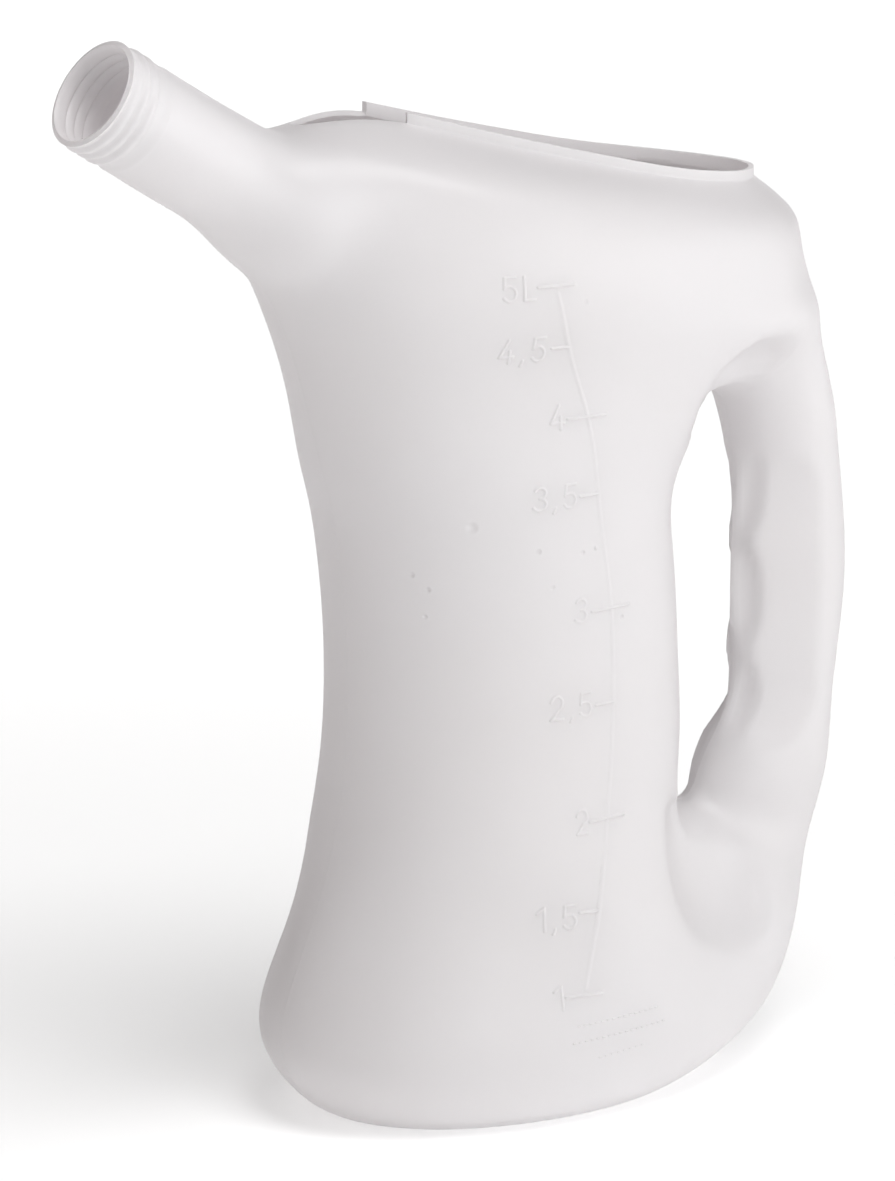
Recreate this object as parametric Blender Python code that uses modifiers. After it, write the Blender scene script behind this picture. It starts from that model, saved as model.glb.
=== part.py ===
"""Five-litre calf feeding bottle: a blow-moulded jug with a hollow handle and a threaded spout,
and the loose teat kit (teat, screw ring, flow valve) that stands on the floor inside it.

Metres, +Z up, spout towards -X, handle towards +X, symmetric about the XZ plane,
origin on the standing face under the middle of the bounding box.
"""
from math import cos, pi, radians, sin

import bpy
from mathutils import Vector

# ---------------------------------------------------------------- driving dimensions
CENTRE_X = 0.0152              # moves the model so that its box is centred on the origin
WALL = 0.0020                  # wall of the blow moulding
COLLAR_HEIGHT = 0.0037         # lip that stands up round the back of the filling opening

PUSH_UP = 0.0041               # the middle of the base stands this far above the floor

# Rings of the body from the base up: height, fall towards the handle, front x, back x,
# half width, squareness, and how much the handle end is pinched in.
LOWER_RINGS = (
    # z      fall    front    back    half    power pinch
    (PUSH_UP, 0.000, -0.0298, 0.0381, 0.0113, 2.0, 0.00),    # seam along the push-up
    (PUSH_UP, 0.000, -0.0566, 0.0635, 0.0350, 2.0, 0.00),    # edge of the push-up
    (0.0000, 0.000, -0.0654, 0.0704, 0.0420, 2.0, 0.00),    # standing face, inner edge
    (0.0000, 0.000, -0.0716, 0.0758, 0.0476, 2.0, 0.00),    # standing face, outer edge
    (0.0058, 0.000, -0.0818, 0.0868, 0.0562, 2.0, 0.00),    # heel
    (0.0190, 0.000, -0.0937, 0.1062, 0.0650, 2.0, 0.00),
    (0.0391, 0.000, -0.0979, 0.1223, 0.0675, 2.1, 0.05),
    (0.0700, 0.000, -0.0866, 0.1355, 0.0639, 2.1, 0.38),
)
STANDING_RINGS = (2, 3)        # the two rings that bound the flat standing face
PINCH_START = 0.0310           # the pinch begins at this x and is full PINCH_RUN further back
PINCH_RUN = 0.0360
GRIP_POWER = 2.7               # squareness of the grip's section
# Rings beside the eye: height, body front x, body back x, body half width,
# grip inner x, grip outer x, grip half width.
EYE_RINGS = (
    # z      front    back    half     grip in  grip out half
    (0.1020, -0.0752, 0.0690, 0.0597, 0.0885, 0.1462, 0.0205),
    (0.1319, -0.0700, 0.0690, 0.0582, 0.1037, 0.1498, 0.0190),
    (0.1650, -0.0684, 0.0680, 0.0576, 0.1046, 0.1538, 0.0184),
    (0.1959, -0.0700, 0.0659, 0.0582, 0.1051, 0.1540, 0.0184),
    (0.2247, -0.0742, 0.0648, 0.0592, 0.1049, 0.1503, 0.0190),
    (0.2482, -0.0806, 0.0770, 0.0607, 0.0998, 0.1462, 0.0215),
)
UPPER_RINGS = (
    (0.2784, 0.020, -0.0896, 0.1366, 0.0628, 2.1, 0.10),
    (0.3011, 0.060, -0.0990, 0.1295, 0.0648, 2.1, 0.00),
    (0.3197, 0.100, -0.0999, 0.1260, 0.0639, 2.1, 0.00),
    (0.3353, 0.150, -0.0985, 0.1240, 0.0582, 2.1, 0.00),
    (0.3466, 0.190, -0.0954, 0.1190, 0.0469, 2.1, 0.00),
)
# Filling opening, half outline from the tip at the spout round to the back.
RIM = ((-0.0927, 0.0000, 0.3711), (-0.0732, 0.0086, 0.3723), (-0.0516, 0.0142, 0.3696),
       (-0.0124, 0.0266, 0.3583), (0.0258, 0.0339, 0.3481), (0.0567, 0.0350, 0.3406),
       (0.0814, 0.0296, 0.3361), (0.0960, 0.0212, 0.3340), (0.1059, 0.0101, 0.3328),
       (0.1092, 0.0000, 0.3324))
COLLAR_START = 2               # the collar runs from this outline point to the back

# Spout: a threaded neck on a plain tube that flares into the body.
MOUTH = Vector((-0.1746, 0.0, 0.3911))
SPOUT_TILT = radians(32.5)     # rise of the spout's axis above the horizontal
ROOT_BOTTOM = Vector((-0.1058, 0.0, 0.3152))
ROOT_HALF_WIDTH = 0.0310       # half width of the flare where it meets the body
THREAD_START = 0.0028          # first ridge of the neck, behind the mouth
THREAD_PITCH = 0.0043
THREAD_RIDGES = 3
RIDGE_RADIUS = 0.0210
VALLEY_RADIUS = 0.0202
MOUTH_TRIM = 0.0015            # the tube is moulded this much too long and cut off square
# Plain rings of the spout: distance behind the mouth, radius.
MOUTH_RINGS = ((-MOUTH_TRIM, 0.0205), (0.0008, 0.0205))
TUBE_RINGS = ((0.0185, 0.0207), (0.0237, 0.0207), (0.0443, 0.0207), (0.0660, 0.0214))

# Teat kit: it stands on the jug's floor, clear of the walls, and lifts straight up and out.
KIT_X = 0.0320
KIT_FLOOR = 0.0070             # underside of the kit, clear of the inside of the floor
# Teat, outside then inside, from the milk hole round to the milk hole: radius, height.
TEAT_PROFILE = (
    (0.0012, 0.0980), (0.0045, 0.0973), (0.0072, 0.0940), (0.0084, 0.0880), (0.0096, 0.0750),
    (0.0118, 0.0550), (0.0125, 0.0400), (0.0122, 0.0250), (0.0128, 0.0120), (0.0130, 0.0040),
    (0.0138, 0.0032), (0.0186, 0.0030), (0.0190, 0.0026), (0.0190, 0.0004), (0.0186, 0.0),
    (0.0108, 0.0), (0.0105, 0.0120), (0.0098, 0.0250), (0.0100, 0.0400), (0.0093, 0.0550),
    (0.0070, 0.0750), (0.0056, 0.0880), (0.0036, 0.0940), (0.0012, 0.0952),
)
# Screw ring, from the hole in its top down the outside and up the bore: radius, height.
RING_OUTER = 0.0245
RING_BORE = 0.0220
RING_HEIGHT = 0.0175
RING_HOLE = 0.0142
RING_LIP = 0.0028
RING_RIDGE = 0.0006
RING_TOP_BEVEL = 0.0010
RING_FOOT_BEVEL = 0.0005
VALVE_RADIUS = 0.0102
VALVE_THICKNESS = 0.0024
VALVE_PORT_RADIUS = 0.0016
VALVE_PORT_CIRCLE = 0.0058
VALVE_PORTS = 4
PORT_STEPS = 12
TURNED_STEPS = 32              # facets round the turned pieces

# Column places along a full ring (-1 front, +1 back) and along a body ring beside the eye.
FULL_COLUMNS = (-1.0, -0.80, -0.42, -0.02, 0.28, 0.46, 0.68, 0.84, 0.96, 1.0)
BODY_COLUMNS = (-1.0, -0.81, -0.31, 0.31, 0.81, 1.0)
GRIP_COLUMNS = (-1.0, -0.45, 0.45, 1.0)
EYE_COLUMN = len(BODY_COLUMNS) - 1

SUBDIVISION = 1
FIT_ROUNDS = 12                # corrections that bring the smooth surface onto its points
CUTTER_SIZE = 0.06
CLIP_DISTANCE = 0.00005


# ---------------------------------------------------------------- scene
def clear_scene():
    for thing in list(bpy.data.objects):
        bpy.data.objects.remove(thing, do_unlink=True)


def new_collection(name):
    collection = bpy.data.collections.new(name)
    bpy.context.scene.collection.children.link(collection)
    return collection


def move_to(thing, collection):
    for owner in list(thing.users_collection):
        owner.objects.unlink(thing)
    collection.objects.link(thing)


def plastic(name, colour, roughness):
    material = bpy.data.materials.new(name)
    material.use_nodes = True
    shader = material.node_tree.nodes["Principled BSDF"]
    shader.inputs["Base Color"].default_value = (*colour, 1.0)
    shader.inputs["Roughness"].default_value = roughness
    shader.inputs["Metallic"].default_value = 0.0
    return material


# ---------------------------------------------------------------- cage of the moulding
def oval(place, power):
    """Half width of a superellipse at a place from -1 to +1."""
    return max(0.0, 1.0 - abs(place) ** power) ** (1.0 / power)


def full_ring(z, fall, front, back, half, power, pinch):
    middle, reach = (front + back) / 2, (back - front) / 2
    row = []
    for place in FULL_COLUMNS:
        x = middle + reach * place
        narrowing = 1.0 - pinch * min(1.0, max(0.0, (x - PINCH_START) / PINCH_RUN))
        row.append(Vector((x, half * oval(place, power) * narrowing, z - fall * x)))
    return row


def eye_ring(z, front, back, half, grip_in, grip_out, grip_half):
    row = []
    for place in BODY_COLUMNS:
        x = (front + back) / 2 + (back - front) / 2 * place
        row.append(Vector((x, half * oval(place, 2.0), z)))
    for place in GRIP_COLUMNS:
        x = (grip_in + grip_out) / 2 + (grip_out - grip_in) / 2 * place
        power = GRIP_POWER if place > 0.0 else 2.0
        row.append(Vector((x, grip_half * oval(place, power), z)))
    return row


def spout_sections():
    """Distances behind the mouth and radii, from the mouth to the flare."""
    thread = []
    for ridge in range(THREAD_RIDGES):
        crest = THREAD_START + THREAD_PITCH * (ridge + 0.5)
        thread += [(crest - THREAD_PITCH / 2, VALLEY_RADIUS), (crest, RIDGE_RADIUS)]
    thread.append((crest + THREAD_PITCH / 2, VALLEY_RADIUS))
    return MOUTH_RINGS + tuple(thread) + TUBE_RINGS


def spout_axis():
    return Vector((-cos(SPOUT_TILT), 0.0, sin(SPOUT_TILT)))


def spout_ring(distance, radius, count):
    """Half a ring of the spout, from its underside to its top."""
    up = Vector((sin(SPOUT_TILT), 0.0, cos(SPOUT_TILT)))
    centre = MOUTH - spout_axis() * distance
    ring = []
    for step in range(count):
        turn = -pi / 2 + pi * step / (count - 1)
        ring.append(centre + up * radius * sin(turn) + Vector((0.0, radius * cos(turn), 0.0)))
    return ring


def surface_points():
    """Points that the moulding's outer surface passes through, keyed by (row, column)."""
    points = {}
    rows = [full_ring(*ring) for ring in LOWER_RINGS]
    first_eye = len(rows)
    rows += [eye_ring(*ring) for ring in EYE_RINGS]
    last_eye = len(rows) - 1
    rows += [full_ring(*ring) for ring in UPPER_RINGS]
    rows.append([Vector(point) for point in RIM])
    for r, row in enumerate(rows):
        for c, point in enumerate(row):
            points[r, c] = point
    last = len(FULL_COLUMNS) - 1
    for c in range(1, last):
        points[0, c].y = 0.0
    del points[0, 0], points[0, last]
    for r in (first_eye, last_eye):
        points[r, EYE_COLUMN].y = points[r, EYE_COLUMN + 1].y = 0.0
    top = len(rows) - 1
    root = last_eye + 2
    count = top - root + 1
    tip = points[top, 0].copy()
    centre, reach = (tip + ROOT_BOTTOM) / 2, (tip - ROOT_BOTTOM) / 2
    for step in range(1, count - 1):
        turn = -pi / 2 + pi * step / (count - 1)
        points[root + step, 0] = centre + reach * sin(turn) + Vector((0.0, ROOT_HALF_WIDTH * cos(turn), 0.0))
    points[root, 0] = ROOT_BOTTOM.copy()
    for k, (distance, radius) in enumerate(reversed(spout_sections())):
        for step, point in enumerate(spout_ring(distance, radius, count)):
            points[root + step, -1 - k] = point
    for c in range(COLLAR_START, len(RIM)):
        points[top + 1, c] = points[top, c] + Vector((0.0, 0.0, COLLAR_HEIGHT))
    return points, first_eye, last_eye, top


def half_cage(points, first_eye, last_eye):
    """A mesh of quads on the grid of points, open at the mirror plane, the eye, the rim and the mouth."""
    keys = sorted(points)
    index = {key: number for number, key in enumerate(keys)}
    faces = []
    for r, c in keys:
        in_eye = c == EYE_COLUMN and first_eye <= r < last_eye
        corners = [(r, c), (r + 1, c), (r + 1, c + 1), (r, c + 1)]
        if all(corner in index for corner in corners) and not in_eye:
            faces.append([index[corner] for corner in corners])
    end = len(FULL_COLUMNS) - 1
    faces.append([index[0, 1], index[1, 0], index[1, 1]])
    faces.append([index[0, end - 1], index[1, end - 1], index[1, end]])
    mesh = bpy.data.meshes.new("jug_body")
    mesh.from_pydata([points[key] for key in keys], [], faces)
    mesh.update()
    return mesh, keys, index


def crease_edges(mesh, index, pairs):
    crease = mesh.attributes.new("crease_edge", "FLOAT", "EDGE")
    wanted = {frozenset((index[a], index[b])) for a, b in pairs}
    for edge in mesh.edges:
        if frozenset(edge.vertices) in wanted:
            crease.data[edge.index].value = 1.0


def make_mouth_cutter(collection):
    """A block whose face trims the spout square to its axis."""
    bpy.ops.mesh.primitive_cube_add(size=CUTTER_SIZE)
    cutter = bpy.context.object
    cutter.name = "mouth_cutter"
    cutter.location = Vector((CENTRE_X, 0.0, 0.0)) + MOUTH + spout_axis() * CUTTER_SIZE / 2
    cutter.rotation_euler = (0.0, SPOUT_TILT, 0.0)
    cutter.hide_render = True
    cutter.display_type = "WIRE"
    move_to(cutter, collection)
    return cutter


def make_jug(collection, cutters):
    points, first_eye, last_eye, top = surface_points()
    mesh, keys, index = half_cage(points, first_eye, last_eye)
    columns = range(len(FULL_COLUMNS) - 1)
    pairs = [((r, c), (r, c + 1)) for r in STANDING_RINGS for c in columns]
    pairs += [((top, c), (top, c + 1)) for c in columns if c >= COLLAR_START]
    crease_edges(mesh, index, pairs)
    jug = bpy.data.objects.new("jug_body", mesh)
    jug.location.x = CENTRE_X
    collection.objects.link(jug)
    mirror = jug.modifiers.new("mirror", "MIRROR")
    mirror.use_axis = (False, True, False)
    mirror.use_clip = True
    mirror.merge_threshold = CLIP_DISTANCE
    smooth = jug.modifiers.new("smooth", "SUBSURF")
    smooth.levels = smooth.render_levels = SUBDIVISION
    smooth.boundary_smooth = "PRESERVE_CORNERS"
    smooth.use_limit_surface = True
    fit_cage(jug, [points[key] for key in keys])
    shell = jug.modifiers.new("wall", "SOLIDIFY")
    shell.thickness = WALL
    shell.offset = -1.0
    shell.use_even_offset = True
    shell.use_quality_normals = True
    trim = jug.modifiers.new("trim_mouth", "BOOLEAN")
    trim.object = make_mouth_cutter(cutters)
    trim.operation = "DIFFERENCE"
    trim.solver = "EXACT"
    mesh.shade_smooth()
    mesh.materials.append(plastic("natural_hdpe", (0.86, 0.86, 0.85), 0.42))
    return jug


def fit_cage(jug, targets):
    """Move the cage until the smooth surface passes through the targets; the push-up only in height."""
    for _ in range(FIT_ROUNDS):
        graph = bpy.context.evaluated_depsgraph_get()
        graph.update()
        smooth_mesh = jug.evaluated_get(graph).data
        for vertex, target in zip(jug.data.vertices, targets):
            step = target - smooth_mesh.vertices[vertex.index].co
            on_push_up = abs(target.z - PUSH_UP) < CLIP_DISTANCE
            if on_push_up:
                step.x = 0.0
            if on_push_up or target.y == 0.0:
                step.y = 0.0
            vertex.co += step
        jug.data.update()
        jug.update_tag()


# ---------------------------------------------------------------- teat kit
def kit_axis(collection):
    """The empty on the kit's axis that its pieces hang from."""
    empty = bpy.data.objects.new("kit_axis", None)
    empty.location = (CENTRE_X + KIT_X, 0.0, KIT_FLOOR)
    collection.objects.link(empty)
    return empty


def turned(name, profile, collection, parent, material):
    """A closed profile of (radius, height) turned about the parent's Z axis."""
    mesh = bpy.data.meshes.new(name)
    count = len(profile)
    edges = [(k, (k + 1) % count) for k in range(count)]
    mesh.from_pydata([(radius, 0.0, height) for radius, height in profile], edges, [])
    piece = bpy.data.objects.new(name, mesh)
    piece.parent = parent
    collection.objects.link(piece)
    screw = piece.modifiers.new("turn", "SCREW")
    screw.axis = "Z"
    screw.angle = 2 * pi
    screw.steps = screw.render_steps = TURNED_STEPS
    screw.use_merge_vertices = True
    screw.merge_threshold = CLIP_DISTANCE
    screw.use_smooth_shade = True
    mesh.materials.append(material)
    return piece


def screw_ring_profile():
    """Lip hole, top, outside, then the bore with one low ridge for each turn of the neck's thread."""
    lip = RING_HEIGHT - RING_LIP
    profile = [(RING_HOLE, RING_HEIGHT), (RING_OUTER - RING_TOP_BEVEL, RING_HEIGHT),
               (RING_OUTER, RING_HEIGHT - RING_TOP_BEVEL), (RING_OUTER, RING_FOOT_BEVEL),
               (RING_OUTER - RING_FOOT_BEVEL, 0.0), (RING_BORE, 0.0)]
    for ridge in range(THREAD_RIDGES - 1):
        foot = THREAD_PITCH * (ridge + 0.5)
        profile += [(RING_BORE, foot), (RING_BORE - RING_RIDGE, foot + THREAD_PITCH / 4),
                    (RING_BORE, foot + THREAD_PITCH / 2)]
    return profile + [(RING_BORE, lip), (RING_HOLE, lip)]


def make_flow_valve(collection, cutters, parent):
    """A thin disc with milk ports that sits in the bore of the teat's foot."""
    centre = parent.location + Vector((0.0, 0.0, VALVE_THICKNESS))
    bpy.ops.mesh.primitive_cylinder_add(vertices=TURNED_STEPS, radius=VALVE_RADIUS,
                                        depth=VALVE_THICKNESS, location=centre)
    valve = bpy.context.object
    valve.name = "flow_valve"
    valve.data.name = "flow_valve"
    move_to(valve, collection)
    for number in range(VALVE_PORTS):
        turn = 2 * pi * number / VALVE_PORTS
        place = centre + Vector((cos(turn), sin(turn), 0.0)) * VALVE_PORT_CIRCLE
        bpy.ops.mesh.primitive_cylinder_add(vertices=PORT_STEPS, radius=VALVE_PORT_RADIUS,
                                            depth=VALVE_THICKNESS * 2, location=place)
        port = bpy.context.object
        port.name = f"port_cutter_{number}"
        port.hide_render = True
        port.display_type = "WIRE"
        move_to(port, cutters)
        cut = valve.modifiers.new(f"port_{number}", "BOOLEAN")
        cut.object = port
        cut.operation = "DIFFERENCE"
        cut.solver = "EXACT"
    valve.data.materials.append(plastic("valve_plastic", (0.75, 0.76, 0.77), 0.40))
    return valve


def main():
    clear_scene()
    parts = new_collection("calf_feeding_bottle")
    cutters = new_collection("cutters")
    make_jug(parts, cutters)
    axis = kit_axis(parts)
    turned("feeding_teat", TEAT_PROFILE, parts, axis, plastic("teat_rubber", (0.62, 0.42, 0.22), 0.55))
    turned("screw_ring", screw_ring_profile(), parts, axis, plastic("ring_plastic", (0.84, 0.84, 0.83), 0.40))
    make_flow_valve(parts, cutters, axis)


main()
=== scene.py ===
"""Looks of the five-litre calf feeding bottle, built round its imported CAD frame.

The jug is made again from rings like the CAD's, four times finer, with the details that its solid leaves out:
the helical thread, the grip's flat sides, finger hollows and dishes, the moulded scale and the mould's small dents.
The teat and the screw ring are finer versions of their CAD solids. The flow valve in the teat is the CAD's own.
Lengths are in metres. The jug is built with its own x and moved by CENTRE_X into the frame.
"""
from math import atan2, cos, hypot, pi, radians, sin, sqrt

import bpy
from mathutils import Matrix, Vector
from mathutils.bvhtree import BVHTree


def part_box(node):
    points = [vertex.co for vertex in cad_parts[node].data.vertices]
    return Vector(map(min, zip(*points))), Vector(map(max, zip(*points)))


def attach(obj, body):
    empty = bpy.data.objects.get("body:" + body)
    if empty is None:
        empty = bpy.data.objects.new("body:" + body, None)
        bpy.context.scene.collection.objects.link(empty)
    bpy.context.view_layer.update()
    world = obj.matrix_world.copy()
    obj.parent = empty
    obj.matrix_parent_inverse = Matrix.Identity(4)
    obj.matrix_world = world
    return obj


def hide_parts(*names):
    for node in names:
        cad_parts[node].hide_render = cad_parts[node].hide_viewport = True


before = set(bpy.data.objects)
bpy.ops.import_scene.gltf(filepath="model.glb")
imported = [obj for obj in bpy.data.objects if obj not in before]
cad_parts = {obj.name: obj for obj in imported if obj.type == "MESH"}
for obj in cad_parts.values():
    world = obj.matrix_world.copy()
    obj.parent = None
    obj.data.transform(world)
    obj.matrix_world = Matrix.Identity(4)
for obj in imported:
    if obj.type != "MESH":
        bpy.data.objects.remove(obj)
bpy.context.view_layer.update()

# ---------------------------------------------------------------- the moulding's rings
# They are the CAD's, with the back ends of eight moved by up to 1.4 mm to keep the photo's outline when finer.
CENTRE_X = 0.0152
WALL = 0.0020
COLLAR_HEIGHT = 0.0037
PUSH_UP = 0.0041
LOWER_RINGS = (
    # z      fall    front    back    half    power pinch
    (PUSH_UP, 0.000, -0.0298, 0.0381, 0.0113, 2.0, 0.00),
    (PUSH_UP, 0.000, -0.0566, 0.0635, 0.0350, 2.0, 0.00),
    (0.0000, 0.000, -0.0654, 0.0704, 0.0420, 2.0, 0.00),
    (0.0000, 0.000, -0.0716, 0.0758, 0.0476, 2.0, 0.00),
    (0.0058, 0.000, -0.0818, 0.0868, 0.0562, 2.0, 0.00),
    (0.0190, 0.000, -0.0937, 0.1062, 0.0650, 2.0, 0.00),
    (0.0391, 0.000, -0.0979, 0.1209, 0.0675, 2.1, 0.05),
    (0.0700, 0.000, -0.0866, 0.1357, 0.0639, 2.1, 0.38),
)
STANDING_RINGS = (2, 3)
PINCH_START = 0.0310             # x behind which a ring is pinched in, over PINCH_RUN
PINCH_RUN = 0.0360
ROUND_POWER = 2.0
GRIP_POWER = 2.7
EYE_RINGS = (
    # z      front    back    half     grip in  grip out half
    (0.1020, -0.0752, 0.0690, 0.0597, 0.0885, 0.1460, 0.0205),
    (0.1319, -0.0700, 0.0690, 0.0582, 0.1037, 0.1488, 0.0190),
    (0.1650, -0.0684, 0.0680, 0.0576, 0.1046, 0.1538, 0.0184),
    (0.1959, -0.0700, 0.0659, 0.0582, 0.1051, 0.1540, 0.0184),
    (0.2247, -0.0742, 0.0648, 0.0592, 0.1049, 0.1503, 0.0190),
    (0.2482, -0.0806, 0.0770, 0.0607, 0.0998, 0.1456, 0.0215),
)
UPPER_RINGS = (
    # z      fall    front    back    half    power pinch
    (0.2784, 0.020, -0.0896, 0.1364, 0.0628, 2.1, 0.10),
    (0.3011, 0.060, -0.0990, 0.1293, 0.0648, 2.1, 0.00),
    (0.3197, 0.100, -0.0999, 0.1252, 0.0639, 2.1, 0.00),
    (0.3353, 0.150, -0.0985, 0.1240, 0.0582, 2.1, 0.00),
    (0.3466, 0.190, -0.0954, 0.1190, 0.0469, 2.1, 0.00),
)
# Points of the rim's +Y half, from the spout to the back. The collar stands on it from COLLAR_START on.
RIM = ((-0.0927, 0.0000, 0.3711), (-0.0732, 0.0086, 0.3723), (-0.0516, 0.0142, 0.3696),
       (-0.0124, 0.0266, 0.3583), (0.0258, 0.0339, 0.3481), (0.0567, 0.0350, 0.3406),
       (0.0814, 0.0296, 0.3361), (0.0960, 0.0212, 0.3340), (0.1059, 0.0101, 0.3328),
       (0.1092, 0.0000, 0.3324))
COLLAR_START = 2
MOUTH = Vector((-0.1746, 0.0, 0.3911))
SPOUT_TILT = radians(32.5)
ROOT_BOTTOM = Vector((-0.1058, 0.0, 0.3152))
ROOT_HALF_WIDTH = 0.0310
# Distance behind the mouth and radius of the spout's rings. The thread is pressed in afterwards.
SPOUT_SECTIONS = ((0.0, 0.0205), (0.0010, 0.0205), (0.0040, 0.0205), (0.0080, 0.0205), (0.0120, 0.0205),
                  (0.0160, 0.0206), (0.0200, 0.0207), (0.0237, 0.0207), (0.0443, 0.0207), (0.0660, 0.0214))
# Places of a ring's points along it: -1 at its front, 1 at its back.
FULL_COLUMNS = (-1.0, -0.80, -0.42, -0.02, 0.28, 0.46, 0.68, 0.84, 0.96, 1.0)
BODY_COLUMNS = (-1.0, -0.81, -0.31, 0.31, 0.81, 1.0)
GRIP_COLUMNS = (-1.0, -0.45, 0.45, 1.0)
EYE_COLUMN = len(BODY_COLUMNS) - 1
FINE_LEVEL = 3
FIT_ROUNDS = 12
CLIP_DISTANCE = 0.00005
EDGE_RADIUS = 0.0004             # rounding of the wall's cut edges
EDGE_ANGLE = radians(50)

# ---------------------------------------------------------------- thread
THREAD_START = 0.0022            # where the ridge starts behind the mouth
THREAD_PITCH = 0.0043
THREAD_TURNS = 3.0
THREAD_PHASE = 0.5
THREAD_DEPTH = 0.0013
THREAD_CREST = 0.0210
THREAD_RUNOUT = 0.35             # turns over which the ridge rises and falls
THREAD_END = 0.2                 # turns from THREAD_TURNS to the end of the fall
THREAD_CLEAR = 2.0               # pitches behind the thread where nothing is left of it
RIDGE_HALF = 0.52                # half width of the ridge in pitches
VALLEY_SHARE = 0.5               # share of the depth that is pressed in between the ridges
VALLEY_RISE = 0.0012             # the valley starts over this length and ends over VALLEY_FADE
VALLEY_END = 0.0200
VALLEY_FADE = 0.0040

# ---------------------------------------------------------------- grip and dishes
# Flat sides of the grip: half width behind the inner edge, and how it opens towards the outer edge.
FLANK_START = 0.0060
FLANK_OPENING = 0.50
INNER_START = (0.0056, 0.0014)   # half width at the inner edge, on the scale's side and on the other
INNER_SLOPE = 1.40
FLANK_ENDS = (0.0820, 0.1380, 0.1980, 0.2740)    # heights where the flats start, are full, and end
FLANK_LOOSE = 0.0450             # how far the flat sides open at their ends
# Finger hollows along the grip's inner corners: middle height and half length.
HOLLOWS = ((0.2140, 0.0210), (0.1715, 0.0215), (0.1340, 0.0170))
HOLLOW_REACH = 0.0078            # how far a hollow runs back from the inner edge
HOLLOW_ROOT = 0.0010             # half width that it leaves at the inner edge
HOLLOW_CURVE = 0.50
HOLLOW_LEAST = 0.0012            # a shorter reach is left out
PRESS_ROUNDS = 4
PRESS_STEP = 0.0001
# Dishes where the grip runs into the body: middle x and z, reach to the front, to the back and away from the eye,
# half width in the middle, and power of the rise to the rim.
DISHES = (
    (0.0900, 0.2400, 0.0430, 0.0400, 0.0470, 0.0195, 3.2),
    (0.0880, 0.1020, 0.0560, 0.0300, 0.0600, 0.0200, 2.9),
)
DISH_OUTLINE = 2.3               # power of a dish's outline; 2 is an ellipse
DISH_RIM = 0.0640                # half width at the rim
DISH_FADE = 0.0160               # height over which a dish runs out beside the eye
EYE_MIDDLE = 0.1750
GRIP_SIDE = 0.0900               # x that parts the body from the grip

# ---------------------------------------------------------------- scale, on the -Y side
# Height of a mark, its two ends, its label, where the label ends, the height of the label's middle.
MARKS = (
    (0.3153, -0.0279, -0.0138, "5L", -0.0292, 0.3153),
    (0.2922, -0.0211, -0.0146, "4,5", -0.0238, 0.2923),
    (0.2655, -0.0137, 0.0019, "4", -0.0152, 0.2664),
    (0.2365, -0.0083, -0.0003, "3,5", -0.0102, 0.2371),
    (0.1926, -0.0015, 0.0166, "3", -0.0038, 0.1936),
    (0.1574, 0.0008, 0.0088, "2,5", -0.0014, 0.1583),
    (0.1145, -0.0025, 0.0141, "2", -0.0036, 0.1150),
    (0.0818, -0.0084, -0.0008, "1,5", -0.0102, 0.0806),
    (0.0518, -0.0165, -0.0021, "1", -0.0178, 0.0517),
)
# Bead that the marks stand on: height, x.
SPINE = ((0.3140, -0.0207), (0.2922, -0.0146), (0.2654, -0.0057), (0.2362, -0.0003), (0.1929, 0.0074),
         (0.1572, 0.0088), (0.1145, 0.0055), (0.0815, -0.0008), (0.0530, -0.0088))
DIGIT_HEIGHT = 0.0086
DIGIT_GAP = 0.0031
DIGIT_STROKE = 0.00080           # half width of a digit's stroke
DIGIT_RAISE = 0.00042
MARK_STROKE = 0.00078
MARK_RAISE = 0.00055
SPINE_STROKE = 0.00130
SPINE_RAISE = 0.00024
SPINE_STEPS = 96
STRIP_CUTS = 3                   # each step of a strip's line is cut into this many
STRIP_ACROSS = 8
STRIP_FADE = 2                   # cuts over which a strip's ends run out
# Rows of moulding pips under the scale: left end, right end, height at both, number of pips.
PIP_ROWS = ((-0.0120, 0.0220, 0.0408, 0.0424, 15), (-0.0140, 0.0252, 0.0345, 0.0368, 17),
            (-0.0030, 0.0155, 0.0276, 0.0294, 8))
PIP_LENGTH = 0.0010
PIP_STROKE = 0.00042
PIP_RAISE = 0.00028
RELIEF_PITCH = 0.00024
PIP_PITCH = RELIEF_PITCH * 0.8
WELD_PITCH = RELIEF_PITCH * 1.6
RELIEF_MARGIN = 1.35             # grid cells are kept up to this many half widths from a stroke
RELIEF_SINK = 0.00003            # a bead's edge lies this far under the jug's skin
RELIEF_DEPTH = 0.0004            # thickness of a bead's root in the wall
# Weld of the pinched parison across the push-up.
WELD_ENDS = (-0.0440, 0.0540)
WELD_STROKE = 0.0012
WELD_RAISE = 0.0006


# ---------------------------------------------------------------- cage of the moulding
def oval(place, power):
    """Half width of an oval one wide, at a place from -1 to 1 along it."""
    return max(0.0, 1.0 - abs(place) ** power) ** (1.0 / power)


def full_ring(z, fall, front, back, half, power, pinch):
    middle, reach = (front + back) / 2, (back - front) / 2
    row = []
    for place in FULL_COLUMNS:
        x = middle + reach * place
        narrowing = 1.0 - pinch * min(1.0, max(0.0, (x - PINCH_START) / PINCH_RUN))
        row.append(Vector((x, half * oval(place, power) * narrowing, z - fall * x)))
    return row


def eye_ring(z, front, back, half, grip_in, grip_out, grip_half):
    row = []
    for place in BODY_COLUMNS:
        x = (front + back) / 2 + (back - front) / 2 * place
        row.append(Vector((x, half * oval(place, ROUND_POWER), z)))
    for place in GRIP_COLUMNS:
        x = (grip_in + grip_out) / 2 + (grip_out - grip_in) / 2 * place
        power = GRIP_POWER if place > 0.0 else ROUND_POWER
        row.append(Vector((x, grip_half * oval(place, power), z)))
    return row


def spout_axis():
    return Vector((-cos(SPOUT_TILT), 0.0, sin(SPOUT_TILT)))


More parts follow.
